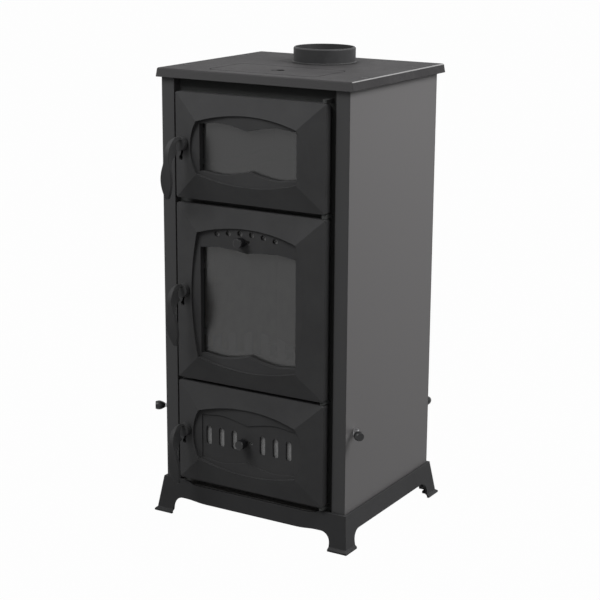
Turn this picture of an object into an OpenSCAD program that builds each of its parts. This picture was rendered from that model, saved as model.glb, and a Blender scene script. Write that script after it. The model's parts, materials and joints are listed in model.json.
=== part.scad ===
/* [Body] */
// Width of the body over the side panels
body_w = 400; // [370:5:440]
// Depth of the body, from the front of the posts to the rear panel
body_d = 338; // [320:2:380]
// Height of the cooking surface above the floor
cook_h = 870; // [850:5:900]
// Thickness of the side, rear and bottom sheets
sheet_t = 1.5; // [1:0.25:2]
// Width of the two posts that frame the front
post_w = 27.5; // [24:0.5:29]
// Depth of the front plate behind the face of the posts
setback = 16.5; // [14:0.5:20]
// Thickness of the cast front plate
plate_t = 5; // [4:0.5:6]

/* [Base] */
// Height of the cast base
base_h = 69; // [64:1:80]
// How far the top of the base stands out from the body
base_lip = 4.8; // [3:0.2:7]
// How far the feet spread beyond the body at the sides
foot_spread_x = 17; // [14:1:24]
// How far the feet spread beyond the body at the front and rear
foot_spread_y = 22; // [16:1:28]
// Width of each foot, seen from the front or side
foot_w = 41; // [34:1:50]
// Height of the lower edge of the front and rear aprons beside the feet
apron_z = 33.5; // [31:0.5:37]
// Height of the lower edge of the side aprons
side_apron_z = 34; // [31:0.5:37]
// How far the upper edge of the front apron dips between the posts
apron_dip = 7; // [4:1:10]
// How far its lower edge dips
low_dip = 3; // [1:0.5:5]
// Wall of the base casting
base_wall = 4.4; // [3.6:0.2:5]

/* [Top plate] */
// Thickness of the cast top plate
top_t = 8; // [6:0.5:10]
// Height of the sloping edge of the top plate
skirt_h = 16.4; // [12:0.4:20]
// How far the upper edge stands out at the sides and front
top_lip = 7; // [5:0.5:9]
// How far the upper edge stands out at the rear
top_rear_lip = 17.5; // [12:0.5:22]
// How far the sloping edge spreads towards its foot
skirt_flare = 2.5; // [1.5:0.5:4]
// Radius of the corners of the top plate
top_corner = 3; // [2.5:0.5:8]
// Width of the chamfer on its upper edge
top_chamfer = 1.75; // [0.5:0.25:2.25]

/* [Flue collar] */
// Outside diameter of the collar, inside a 120 mm pipe
collar_od = 119.4; // [99.4:1:124.4]
// Height of the collar above the top plate
collar_h = 29.3; // [24:0.5:40]
// Wall of the collar
collar_wall = 4.2; // [3:0.2:6]
// How far the collar stands to the right of the middle
collar_x = 3; // [0:0.5:6]

/* [Doors] */
// Gap between a door and the post beside it
side_gap = 12; // [11.5:0.5:14]
// Height of the rail above the oven door, up to the cooking surface
head_gap = 40; // [38:1:46]
// Share of the height of the three doors that the ash door takes
ash_share = 0.2694; // [0.26:0.0001:0.28]
// Share of the height of the three doors that the oven door takes
oven_share = 0.268; // [0.26:0.001:0.28]
// Gap between the base and the ash door
foot_gap = 10; // [8:0.5:12]
// Gap between the ash door and the fire door
low_gap = 6.5; // [6:0.5:9]
// Gap between the fire door and the oven door
high_gap = 9.5; // [8:0.5:12]
// Depth of a door's edge
edge_d = 15; // [14:0.5:17]
// How far the edge of a door stands out from the posts
rim_out = 13; // [12:0.5:14]
// How far the bevelled face rises from the edge
ridge_rise = 14.5; // [12:0.5:16]
// Depth of the curved recess below the ridge
recess_depth = 8; // [7:0.5:8.5]
// Height of the recess ends above and below the corners
recess_bulge = 16; // [12:1:18]

/* [Windows] */
// Depth of the dip in the middle of a waved edge
wave = 11; // [6:0.5:12]
// Thickness of the glass
glass_t = 4; // [3:0.5:5]

/* [Air slides] */
// Diameter of the air holes in the fire door
air_hole_d = 11; // [9:0.5:12]
// Width of the air slots in the ash door
air_slot_w = 12; // [9:0.5:12.5]
// Diameter of the slide knobs
knob_d = 18.6; // [15:0.2:20]
// Length of the slide knobs
knob_len = 20.5; // [15:0.5:24]

/* [Handles] */
// Distance of the handle's axis from the free edge of a door
handle_inset = 20.5; // [20:0.5:22]
// Height of the handle's axis above the middle of a door
handle_up = 5; // [0:1:10]
// Diameter of the handle's hub
hub_d = 25; // [20:0.5:26]
// Length of the handle's hub
hub_len = 11.5; // [9:0.5:16]
// Length of the handle below its axis
grip_len = 100; // [85:1:115]
// Width of the handle where it is widest
grip_w = 23; // [20:0.5:25]
// Thickness of the handle
grip_t = 6.5; // [5:0.5:8]
// Reach of the handle in front of its hub
grip_out = 43; // [38:1:48]

/* [Side and rear air controls] */
// Largest diameter of the control knobs
pear_d = 18; // [14:0.5:20]
// Length of the control knobs
pear_len = 18.7; // [17:0.1:24]

/* [Hidden] */
$fn = 48;

// General fits: a seat, a running fit on the radius, a free gap and the overrun of a cut
seat = 0.3;
run = 0.05;
free = 1;
cut = 2;

// A size that follows from a share, to the nearest tenth of a millimetre
function tenth(size) = round(10*size)/10;

// Reach of the handles and knobs, which places the body so that the footprint is centred
boss_out = 7.5;
pear_neck = 16;
handle_reach = body_d/2 + rim_out + boss_out + seat + hub_len + grip_out;
rear_reach = body_d/2 + pear_neck + pear_len;
body_cy = (handle_reach - rear_reach)/2;

// Main planes, from front to rear
post_y = body_cy - body_d/2;
back_y = body_cy + body_d/2;
rim_y = post_y - rim_out;
ridge_y = rim_y - ridge_rise;
band_y = ridge_y + recess_depth;
door_back_y = rim_y + edge_d;
plate_y = post_y + setback;
plate_back_y = plate_y + plate_t;
side_x = body_w/2;

// Levels
rim_in = 0.4;
flange_t = 5;
flange_top = base_h - apron_dip - free;
floor_z = flange_top + seat;
panel_z = floor_z + sheet_t + seat;
top_under = cook_h - top_t;
panel_top = top_under - seat;

// Widths that follow the body
door_w = body_w - 2*(post_w + side_gap);
recess_in = 54.55;
window_in = 2.45;
recess_w = door_w - 2*recess_in;
window_w = recess_w - 2*window_in;
mouth_in = 32.5;
mouth_w = door_w - 2*mouth_in;

// Heights of the doors, which share what the base, the gaps and the rail leave
stack_h = cook_h - head_gap - base_h - foot_gap - low_gap - high_gap;
ash_h = tenth(stack_h*ash_share);
oven_h = tenth(stack_h*oven_share);
fire_h = stack_h - ash_h - oven_h;

// Door levels
ash_z0 = base_h + foot_gap;
fire_z0 = ash_z0 + ash_h + low_gap;
oven_z0 = fire_z0 + fire_h + high_gap;
ash_z = ash_z0 + ash_h/2;
fire_z = fire_z0 + fire_h/2;
oven_z = oven_z0 + oven_h/2;

// Hollow of a door and its rope groove
floor_t = 6;
hollow_y = band_y + floor_t;
hollow_inset = 28;
rope_inset = 4.5;
rope_w = 7;
rope_depth = 5;
rib_w = 4;
rib_out = setback - edge_d + rim_out - rope_depth;
bevel_z = 50;
corner_r = 4;

// Mouths in the front plate, and the boxes behind them
mouth_r = 8;
oven_mouth_less = 57;
fire_mouth_less = 40;
ash_mouth_less = 48;
oven_mouth_h = oven_h - oven_mouth_less;
fire_mouth_h = fire_h - fire_mouth_less;
ash_mouth_h = ash_h - ash_mouth_less;
box_t = 2;
box_less = 80;
box_depth = body_d - box_less;
box_y0 = plate_back_y + seat;
box_y1 = box_y0 + box_depth;

// Hinges
pin_r = 2.5;
knuckle_r = 4.5;
pin_grip = 12;
hinge_in = 6;
hinge_x = door_w/2 - hinge_in;
hinge_y = rim_y + hinge_in;
lug_w = 9;
lug_gap = free;
lug_foot_h = 6;
lug_top_h = 6;

// Latches
handle_x = -door_w/2 + handle_inset;
spindle_r = 5;
spindle_in = 8;
bit_len = 20;
bit_w = 9;
bit_t = 6;
bit_gap = 0.5;
notch_gap = 2;
nut_r = 7.5;
nut_t = 4;
hub_back_y = rim_y - boss_out - seat;
hub_front_y = hub_back_y - hub_len;
bit_y = plate_back_y + bit_gap;

// Windows and glass
seat_margin = 7;
glass_margin = 5;
glass_drop = 11;
glass_y = band_y + glass_drop;
oven_window_share = 0.487;
fire_window_less = 126.1;
ash_panel_share = 0.48;
wave_share = 0.6;
oven_window_h = tenth(oven_h*oven_window_share);
fire_window_h = fire_h - fire_window_less;
ash_panel_h = tenth(ash_h*ash_panel_share);
wave_len = tenth(window_w*wave_share);
wave_steps = 40;
wave_end = 4;
wave_power = 1.6;
fire_top_share = 0.5;
fire_window_down = 10.5;
oven_window_up = 0.5;
ash_panel_low = 3;
ash_panel_down = 2;

// Air slides
slide_t = 2;
slide_y = hollow_y + seat;
guide_t = 2;
guide_lip = 2;
fire_hole_arc = 330;
air_hole_share = 0.1222;
air_slot_share = 0.1387;
slot_start_share = 0.1522;
slot_h_share = 0.192;
air_hole_pitch = tenth(window_w*air_hole_share);
air_slot_pitch = tenth(window_w*air_slot_share);
air_slot_h = tenth(ash_h*slot_h_share);
fire_row_x = -3.5;
fire_hole_drop = 43.5;
fire_knob_drop = 57.7;
slide_low_drop = 64;
slide_high_drop = 31;
fire_hole_up = fire_h/2 - fire_hole_drop;
fire_knob_up = fire_h/2 - fire_knob_drop;
fire_slide_low = fire_h/2 - slide_low_drop;
fire_slide_high = fire_h/2 - slide_high_drop;
fire_travel = air_hole_pitch/2;
ash_travel = air_slot_pitch/2;
ash_slide_over = 8;
ash_slide_half = air_slot_h/2 + ash_slide_over;
ash_slot_start = tenth(window_w*slot_start_share);
slide_end = 8;
neck_r = 3.2;
rivet_neck_r = 2.2;
rivet_r = 4.3;
rivet_t = 1.5;

// Side and rear air controls
rod_r = 3;
rod_back = 33;
flap_r = 18;
flap_arm = 30;
flap_t = 1.5;
air_port_r = 14;
elbow_out = 5;
knob_turn = 33.5;
rear_air_in = 17;
rear_air_x = side_x - rear_air_in;
left_air_share = 0.6515;
right_air_share = 0.7424;
rear_air_share = 0.5505;
left_air_z = ash_z0 + tenth(ash_h*left_air_share);
right_air_z = ash_z0 + tenth(ash_h*right_air_share);
rear_air_z = ash_z0 + tenth(ash_h*rear_air_share);

// Fasteners
screw_r = 2;
screw_head_r = 4;
screw_head_t = 2.2;
tie_r = 4;
tie_head_r = 6.5;
tie_head_t = 2.5;
tie_in = 10;
tie_share = 0.29;
tie_x = side_x - tie_in;
tie_y = tenth(body_d*tie_share);

// Firebox and oven
shell_t = 3;
brick_t = 24;
brick_front = 8;
brick_share = 0.3132;
fire_floor_drop = 10;
grate_share = 0.742;
brick_top = fire_z + tenth(fire_h*brick_share);
fire_floor_z = fire_z - fire_mouth_h/2 - fire_floor_drop;
grate_w = tenth(mouth_w*grate_share);
grate_d = tenth(box_depth*grate_share);
grate_front = 12;
grate_t = 12;
grate_lip = 10;
baffle_t = 6;
baffle_throat = 70;

iron = [0.22, 0.22, 0.23];
panel_grey = [0.40, 0.39, 0.40];
steel = [0.62, 0.62, 0.63];
black = [0.10, 0.10, 0.11];
glass_grey = [0.30, 0.30, 0.31];
brick = [0.78, 0.70, 0.58];
rope_grey = [0.16, 0.16, 0.16];

// A box between two corners
module block(a, b) {
    translate(a) cube([b[0] - a[0], b[1] - a[1], b[2] - a[2]]);
}

// An outline in x and z, carried from y0 to y1
module along_y(y0, y1) {
    translate([0, y1, 0]) rotate([90, 0, 0]) linear_extrude(height = y1 - y0) children();
}

// An outline in y and z, carried from x0 to x1
module along_x(x0, x1) {
    translate([x0, 0, 0]) rotate([90, 0, 90]) linear_extrude(height = x1 - x0) children();
}

// A cylinder along y from y0 to y1 about the point x, z
module rod_y(x, z, r, y0, y1) {
    translate([x, y1, z]) rotate([90, 0, 0]) cylinder(r = r, h = y1 - y0);
}

// A cylinder along x from x0 to x1 about the point y, z
module rod_x(y, z, r, x0, x1) {
    translate([x0, y, z]) rotate([0, 90, 0]) cylinder(r = r, h = x1 - x0);
}

// A rectangle with round corners about the origin
module round_rect(w, h, r) {
    square([w - 2*r, h], center = true);
    square([w, h - 2*r], center = true);
    for (sx = [-1, 1], sz = [-1, 1]) translate([sx*(w/2 - r), sz*(h/2 - r)]) circle(r = r);
}

// A ring between two rounded rectangles
module rect_ring(w, h, r, t) {
    difference() {
        round_rect(w, h, r);
        round_rect(w - 2*t, h - 2*t, max(r - t, r/4));
    }
}

// All that lies inside a shallow arc through the right-hand corners of a rectangle
module within_arc(w, h, bulge) {
    r = (h*h/4 + bulge*bulge)/(2*bulge);
    centre = w/2 + bulge - r;
    translate([centre, 0]) circle(r = r, $fn = 180);
    if (centre > -w) translate([-w, -h]) square([w + centre, 2*h]);
}

// The barrel outline of a recess: four shallow arcs that cross at its corners
module barrel(w, h, bulge) {
    intersection() {
        within_arc(w, h, bulge);
        mirror([1, 0]) within_arc(w, h, bulge);
        rotate([0, 0, 90]) within_arc(h, w, bulge);
        rotate([0, 0, -90]) within_arc(h, w, bulge);
    }
}

// How far a waved edge lies inside its highest line: a pointed dip in the middle, and a fall at the ends
function wave_in(x, w, dip) = abs(x) < wave_len/2
    ? dip*pow(1 - 2*abs(x)/wave_len, wave_power)
    : wave_end*(1 - cos(180*(abs(x) - wave_len/2)/(w/2 - wave_len/2)))/2;

// A window outline whose upper and lower edges are waves
module waved(w, h, top_dip) {
    xs = [for (i = [0:wave_steps]) -w/2 + w*i/wave_steps];
    upper = [for (x = xs) [x, h/2 - wave_in(x, w, top_dip)]];
    lower = [for (i = [wave_steps:-1:0]) [xs[i], -h/2 + wave_in(xs[i], w, wave)]];
    polygon(concat(upper, lower));
}

// Base casting

// Outline of the flared base over one pair of sides, from the toes to the top
function flare(half, spread, inset) = [
    [-half - spread + inset, 0],
    [-half - spread + inset, toe_h/2],
    [-half - base_lip - (spread - base_lip)*toe_share + inset, toe_h],
    [-half - base_lip + inset, base_h],
    [half + base_lip - inset, base_h],
    [half + base_lip + (spread - base_lip)*toe_share - inset, toe_h],
    [half + spread - inset, toe_h/2],
    [half + spread - inset, 0]
];
toe_h = 7;
toe_share = 0.68;
sole_t = 5;
sole_w = 24;
arch_r = 20;
dip_half = 130;
dip_run = 24;
low_dip_half = 104;
low_dip_run = 44;

module flared(inset) {
    intersection() {
        along_x(-body_w, body_w) translate([body_cy, 0]) polygon(flare(body_d/2, foot_spread_y, inset));
        along_y(-body_w, body_w) polygon(flare(side_x, foot_spread_x, inset));
    }
}

// Opening between two feet, with round shoulders
module arch(half_len, top) {
    open = half_len - foot_w;
    translate([-open, -cut]) square([2*open, top - arch_r + cut]);
    translate([-open + arch_r, 0]) square([2*(open - arch_r), top]);
    for (s = [-1, 1]) translate([s*(open - arch_r), top - arch_r]) circle(r = arch_r);
}

// A shallow dip below a level, with soft ends
module dip_outline(level, dip, half, run) {
    steps = 6;
    fall = [for (i = [0:steps]) [half + run*i/steps, level - dip*(1 + cos(180*i/steps))/2]];
    polygon(concat(
        fall, [[half + run, level + cut], [-half - run, level + cut]],
        [for (i = [steps:-1:0]) [-fall[i][0], fall[i][1]]]
    ));
}

module base_frame() {
    color(iron) difference() {
        union() {
            difference() {
                flared(0);
                flared_room();
            }
            // Ledge that carries the bottom plate
            intersection() {
                flared(base_wall/2);
                difference() {
                    translate([0, 0, flange_top - flange_t]) linear_extrude(height = flange_t)
                        translate([0, body_cy]) square([2*body_w, 2*body_w], center = true);
                    translate([0, 0, flange_top - flange_t - cut]) linear_extrude(height = flange_t + 2*cut)
                        translate([0, body_cy]) square([body_w - 2*ledge_w, body_d - 2*ledge_w], center = true);
                }
            }
            // Soles of the feet
            intersection() {
                flared(0);
                for (sx = [-1, 1], sy = [-1, 1])
                    translate([sx*(side_x + foot_spread_x - sole_w/2), body_cy + sy*(body_d/2 + foot_spread_y - sole_w/2), sole_t/2])
                        cube([sole_w, sole_w, sole_t], center = true);
            }
        }
        along_y(-body_w, body_cy) difference() {
            arch(side_x + foot_spread_x, apron_z);
            dip_outline(apron_z, low_dip, low_dip_half, low_dip_run);
        }
        along_y(body_cy - cut, body_w) arch(side_x + foot_spread_x, apron_z);
        along_x(-body_w, body_w) translate([body_cy, 0]) arch(body_d/2 + foot_spread_y, side_apron_z);
        along_y(-body_w, post_y + setback/2) dip_outline(base_h, apron_dip, dip_half, dip_run);
        for (sx = [-1, 1], sy = [-1, 1])
            translate([sx*tie_x, body_cy + sy*tie_y, flange_top - flange_t - cut])
                cylinder(r = tie_r + run, h = flange_t + 2*cut);
    }
}
ledge_w = 22;

// Room inside the base, with the socket that takes the lower edges of the panels
module flared_room() {
    intersection() {
        flared(base_wall);
        translate([0, body_cy, 0]) cube([2*body_w, 2*body_w, 2*(flange_top - flange_t)], center = true);
    }
    translate([0, body_cy, flange_top - flange_t - cut])
        linear_extrude(height = base_h) square([body_w + 2*rim_in, body_d + 2*rim_in], center = true);
}

module bottom_plate() {
    color(steel) difference() {
        block([-side_x, post_y, floor_z], [side_x, back_y, floor_z + sheet_t]);
        for (sx = [-1, 1], sy = [-1, 1]) translate([sx*tie_x, body_cy + sy*tie_y, floor_z - cut])
            cylinder(r = tie_r + seat, h = sheet_t + 2*cut);
    }
}

// Side panels: one folded sheet each, with the post, its return and two screw flanges
post_flange_w = 10;
rear_flange_w = 10;

module folded_side() {
    flange_y = plate_back_y + seat;
    difference() {
        union() {
            block([side_x - sheet_t, post_y, panel_z], [side_x, back_y - sheet_t - seat, panel_top]);
            block([side_x - post_w, post_y, panel_z], [side_x, post_y + sheet_t, panel_top]);
            block([side_x - post_w, post_y, panel_z], [side_x - post_w + sheet_t, flange_y + sheet_t, panel_top]);
            block([side_x - post_w - post_flange_w, flange_y, panel_z],
                  [side_x - post_w + sheet_t, flange_y + sheet_t, panel_top]);
            block([side_x - rear_flange_w, back_y - 2*sheet_t - seat, panel_z], [side_x, back_y - sheet_t - seat, panel_top]);
        }
        for (z = front_screw_z) rod_y(side_x - post_w - post_flange_w/2, z, screw_r + run, flange_y - cut, flange_y + sheet_t + cut);
        for (z = rear_screw_z) rod_y(side_x - rear_flange_w/2 - sheet_t/2, z, screw_r + run,
            back_y - 2*sheet_t - seat - cut, back_y + cut);
    }
}
front_screw_share = [0.07, 0.36, 0.62, 0.87];
front_screw_z = [for (s = front_screw_share) panel_z + (panel_top - panel_z)*s];
rear_screw_share = [0.05, 0.275, 0.5, 0.725, 0.95];
rear_screw_z = [for (s = rear_screw_share) panel_z + (panel_top - panel_z)*s];

module right_side_panel() {
    color(panel_grey) difference() {
        folded_side();
        rod_x(rod_y0, right_air_z, rod_r + run, side_x - sheet_t - cut, side_x + cut);
    }
}

module left_side_panel() {
    color(panel_grey) difference() {
        mirror([1, 0, 0]) folded_side();
        rod_x(rod_y0, left_air_z, rod_r + run, -side_x - cut, -side_x + sheet_t + cut);
    }
}
rod_y0 = post_y + rod_back;

module rear_panel() {
    color(panel_grey) difference() {
        block([-side_x, back_y - sheet_t, panel_z], [side_x, back_y, panel_top]);
        for (sx = [-1, 1], z = rear_screw_z)
            rod_y(sx*(side_x - rear_flange_w/2 - sheet_t/2), z, screw_r + run, back_y - sheet_t - cut, back_y + cut);
        rod_y(rear_air_x, rear_air_z, rod_r + run, back_y - sheet_t - cut, back_y + cut);
        rod_y(rear_air_x - flap_arm, rear_air_z, air_port_r, back_y - sheet_t - cut, back_y + cut);
    }
}

module rear_panel_screws() {
    color(black) for (sx = [-1, 1], z = rear_screw_z) {
        x = sx*(side_x - rear_flange_w/2 - sheet_t/2);
        rod_y(x, z, screw_r, back_y - 2*sheet_t - 4*screw_r, back_y + screw_head_t/2);
        rod_y(x, z, screw_head_r, back_y, back_y + screw_head_t);
    }
}

// Front plate: openings, sealing ribs, hinge lugs and latch notches

// The sealing rib of one door, under the middle of its rope
module seal_rib(z, h) {
    mid = rope_inset + rope_w/2 - rib_w/2;
    along_y(plate_y - rib_out, plate_y) translate([0, z]) rect_ring(door_w - 2*mid, h - 2*mid, corner_r, rib_w);
}

// The notch that lets the latch bit through when the handle hangs down
module latch_notch(z) {
    left = handle_x - spindle_r - notch_gap;
    translate([left, z - bit_len - notch_gap])
        square([-mouth_w/2 - left + cut, bit_len + spindle_r + 2*notch_gap]);
}

module mouth(z, h) {
    translate([0, z]) round_rect(mouth_w, h, mouth_r);
}

// A lug that stands forward of the plate and holds a hinge pin
module hinge_lug(z, h) {
    block([hinge_x - lug_w/2, hinge_y, z], [hinge_x + lug_w/2, plate_y + plate_t/2, z + h]);
    translate([hinge_x, hinge_y, z]) cylinder(r = knuckle_r, h = h);
}

lug_z = [
    ash_z0 - lug_gap/2 - lug_foot_h,
    ash_z0 + ash_h + lug_gap,
    fire_z0 + fire_h + lug_gap,
    oven_z0 + oven_h + lug_gap/2
];
lug_h = [lug_foot_h, low_gap - 2*lug_gap, high_gap - 2*lug_gap, lug_top_h];

module front_frame() {
    color(iron) difference() {
        union() {
            along_y(plate_y, plate_back_y) translate([-plate_half, panel_z])
                square([2*plate_half, panel_top - panel_z]);
            seal_rib(oven_z, oven_h);
            seal_rib(fire_z, fire_h);
            seal_rib(ash_z, ash_h);
            for (i = [0:3]) hinge_lug(lug_z[i], lug_h[i]);
        }
        along_y(plate_y - rib_out - cut, plate_back_y + cut) {
            mouth(oven_z, oven_mouth_h);
            mouth(fire_z, fire_mouth_h);
            mouth(ash_z, ash_mouth_h);
            latch_notch(oven_z + handle_up);
            latch_notch(fire_z + handle_up);
            latch_notch(ash_z + handle_up);
        }
        for (i = [0:3]) translate([hinge_x, hinge_y, lug_z[i] - cut])
            cylinder(r = pin_r + run/2, h = lug_h[i] + 2*cut);
        for (sx = [-1, 1], z = front_screw_z)
            rod_y(sx*(side_x - post_w - post_flange_w/2), z, screw_r + run, plate_y - cut, plate_back_y + cut);
        for (sx = [-1, 1])
            rod_y(sx*guard_screw_x, guard_screw_z, screw_r + run, plate_y - cut, plate_back_y + cut);
    }
}
plate_half = side_x - post_w - seat;

module front_frame_screws() {
    color(black) for (sx = [-1, 1], z = front_screw_z) {
        x = sx*(side_x - post_w - post_flange_w/2);
        rod_y(x, z, screw_r, plate_y - screw_head_t/2, plate_back_y + sheet_t + 2*screw_r);
        rod_y(x, z, screw_head_r, plate_y - screw_head_t, plate_y);
    }
}

// Pins: each stands in a lug and reaches into the doors above and below it
pin_low = [lug_z[0], lug_z[1] - lug_gap - pin_grip, lug_z[2] - lug_gap - pin_grip, lug_z[3] - lug_gap/2 - pin_grip];
pin_high = [
    ash_z0 + pin_grip, fire_z0 + pin_grip, oven_z0 + pin_grip, lug_z[3] + lug_h[3]
];

module hinge_pins() {
    color(steel) for (i = [0:3]) translate([hinge_x, hinge_y, pin_low[i]])
        cylinder(r = pin_r, h = pin_high[i] - pin_low[i]);
}

// Top plate, cooking lid and flue collar

// The sloping edge of the top plate over one pair of sides, with its chamfer
function skirt_outline(front, rear, in) = [
    [front - skirt_flare + in, cook_h - skirt_h], [front + in, cook_h - top_chamfer],
    [front + top_chamfer + in, cook_h], [rear - top_chamfer - in, cook_h],
    [rear - in, cook_h - top_chamfer], [rear + skirt_flare - in, cook_h - skirt_h]
];
top_x = side_x + top_lip;
top_y0 = post_y - top_lip;
top_y1 = back_y + top_rear_lip;
lid_w_share = 0.57;
lid_d_share = 0.346;
lid_front = 24;
lid_w = tenth(body_w*lid_w_share);
lid_d = tenth(body_d*lid_d_share);
lid_y = post_y + lid_front + lid_d/2;
lid_gap = 1.8;
lid_ledge = 8;
lid_t = 5;
lid_r = 14;
plug_t = 3;
collar_share = 0.2426;
collar_y = body_cy + tenth(body_d*collar_share);
collar_r = collar_od/2;
bead_out = 1.2;
bead_r = collar_r + bead_out;
bead_t = 2;
collar_chamfer = 2;

// One round corner of the top plate
module top_corner_cone() {
    translate([0, 0, cook_h - skirt_h]) cylinder(r1 = top_corner + skirt_flare, r2 = top_corner, h = skirt_h - top_chamfer);
    translate([0, 0, cook_h - top_chamfer]) cylinder(r1 = top_corner, r2 = top_corner - top_chamfer, h = top_chamfer);
}

// The top plate without its openings: two crossed prisms and four round corners
module top_slab() {
    over_x = top_x - top_corner;
    along_x(-over_x, over_x) polygon(skirt_outline(top_y0, top_y1, 0));
    along_y(top_y0 + top_corner, top_y1 - top_corner) polygon(skirt_outline(-top_x, top_x, 0));
    for (sx = [-1, 1], y = [top_y0 + top_corner, top_y1 - top_corner])
        translate([sx*over_x, y, 0]) top_corner_cone();
}

// The countersunk head of a tie rod, wider by a gap and carried on above by a rise
module sunk_head(gap, rise) {
    slope = (tie_head_r - tie_r)/tie_head_t;
    translate([0, 0, cook_h - tie_head_t])
        cylinder(r1 = tie_r + gap, r2 = tie_head_r + gap + slope*rise, h = tie_head_t + rise);
}

module top_plate() {
    color(iron) difference() {
        top_slab();
        translate([0, body_cy, top_under - body_w/2])
            cube([body_w + 2*free, body_d + 2*free, body_w], center = true);
        translate([0, lid_y, cook_h - lid_t]) linear_extrude(height = lid_t + cut)
            round_rect(lid_w + 2*lid_gap, lid_d + 2*lid_gap, lid_r + lid_gap);
        translate([0, lid_y, top_under - cut]) linear_extrude(height = top_t + 2*cut)
            round_rect(lid_w - 2*lid_ledge, lid_d - 2*lid_ledge, lid_r);
        translate([collar_x, collar_y, top_under - cut]) cylinder(r = collar_r - collar_wall, h = top_t + 2*cut);
        for (a = bolt_angles) translate([collar_x, collar_y, 0]) rotate([0, 0, a])
            translate([bolt_ring, 0, top_under - cut]) cylinder(r = bolt_r + run, h = top_t + 2*cut);
        for (sx = [-1, 1], sy = [-1, 1]) translate([sx*tie_x, body_cy + sy*tie_y, 0]) {
            translate([0, 0, top_under - cut]) cylinder(r = tie_r + run, h = top_t);
            sunk_head(run, cut);
        }
    }
}
bolt_angles = [30, 150, 270];
bolt_ring = collar_r - collar_wall/2;
bolt_share = 0.3;
bolt_r = tenth(collar_wall*bolt_share);
bolt_head_r = 2*bolt_r;
bolt_head_t = 2;
bolt_in = 9;

module cooking_lid() {
    color(iron) difference() {
        union() {
            translate([0, lid_y, cook_h - lid_t + seat]) linear_extrude(height = lid_t - seat)
                round_rect(lid_w, lid_d, lid_r);
            translate([0, lid_y, cook_h - lid_t - plug_t]) linear_extrude(height = plug_t + lid_t/2)
                round_rect(lid_w - 2*lid_ledge - 4*lid_gap, lid_d - 2*lid_ledge - 4*lid_gap, lid_r);
        }
        translate([lifter_x, lid_y, cook_h - lid_t]) {
            translate([0, 0, -plug_t/2]) cylinder(r = lifter_r, h = plug_t/2 + lid_t + cut);
            rotate([0, 0, lifter_turn]) translate([0, -lifter_w/2, lid_t/2])
                cube([lifter_r + lifter_slot, lifter_w, lid_t]);
        }
    }
}
lifter_x = 6.6;
lifter_turn = 214;
lifter_r = 8.5;
lifter_slot = 8;
lifter_w = 6;

// The collar stands on the plate and is held by screws from below
module flue_collar() {
    color(black) translate([collar_x, collar_y, 0]) difference() {
        rotate_extrude($fn = 96) translate([collar_r - collar_wall, cook_h]) {
            polygon([
                [0, 0], [collar_wall, 0], [collar_wall, collar_h - collar_chamfer],
                [collar_wall - collar_chamfer, collar_h], [0, collar_h]
            ]);
            square([collar_wall + bead_out, bead_t]);
        }
        for (a = bolt_angles) rotate([0, 0, a]) translate([bolt_ring, 0, cook_h - cut])
            cylinder(r = bolt_r, h = cut + bolt_in);
    }
}

module collar_bolts() {
    color(black) for (a = bolt_angles) translate([collar_x, collar_y, 0]) rotate([0, 0, a]) translate([bolt_ring, 0, 0]) {
        translate([0, 0, top_under - bolt_head_t]) cylinder(r = bolt_head_r, h = bolt_head_t);
        translate([0, 0, top_under - bolt_head_t/2]) cylinder(r = bolt_r - run, h = top_t + bolt_head_t/2 + bolt_in - run);
    }
}

// Tie rods from the top plate to the base
module tie_rods() {
    color(black) for (sx = [-1, 1], sy = [-1, 1]) translate([sx*tie_x, body_cy + sy*tie_y, 0]) {
        translate([0, 0, flange_top - flange_t - 2*tie_r])
            cylinder(r = tie_r, h = cook_h - tie_head_t/2 - flange_top + flange_t + 2*tie_r);
        sunk_head(0, -seat);
    }
}

module tie_rod_nuts() {
    color(black) for (sx = [-1, 1], sy = [-1, 1])
        translate([sx*tie_x, body_cy + sy*tie_y, flange_top - flange_t - nut_t]) difference() {
            cylinder(r = nut_r, h = nut_t, $fn = 6);
            translate([0, 0, -cut]) cylinder(r = tie_r + run, h = nut_t + 2*cut);
        }
}

// Inner boxes

// A sheet box that is open towards the door
module open_box(z, h, t, half, with_top) {
    top_room = with_top ? 0 : t + cut;
    difference() {
        block([-half - t, box_y0, z - h/2 - t], [half + t, box_y1, z + h/2 + t]);
        block([-half, box_y0 - cut, z - h/2], [half, box_y1 - t, z + h/2 + top_room]);
    }
}

module oven_box() {
    color(steel) open_box(oven_z, oven_mouth_h, box_t, mouth_w/2, true);
}

runner_up = 26;
runner_w = 10;
runner_t = 2;

module oven_runners() {
    color(steel) for (sx = [-1, 1]) {
        z = oven_z - oven_mouth_h/2 + runner_up;
        x0 = mouth_w/2 - seat/2;
        mirror([sx < 0 ? 1 : 0, 0, 0]) {
            block([x0 - runner_w, box_y0 + runner_w, z], [x0, box_y1 - box_t - runner_w, z + runner_t]);
            block([x0 - runner_t, box_y0 + runner_w, z - runner_w], [x0, box_y1 - box_t - runner_w, z + runner_t]);
        }
    }
}

tray_h = 22;
tray_t = 1.5;

module oven_tray() {
    z = oven_z - oven_mouth_h/2 + runner_up + runner_t + seat;
    half = mouth_w/2 - 2*free;
    rim = runner_w + 2*free;
    y0 = box_y0 + runner_w + seat;
    y1 = box_y1 - box_t - runner_w/2;
    color(black) difference() {
        union() {
            block([-half, y0, z], [half, y1, z + tray_t]);
            block([-half + rim, y0 + rim, z - tray_h], [half - rim, y1 - rim, z + tray_t]);
        }
        block([-half + rim + tray_t, y0 + rim + tray_t, z - tray_h + tray_t], [half - rim - tray_t, y1 - rim - tray_t, z + cut + tray_t]);
    }
}

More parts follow.
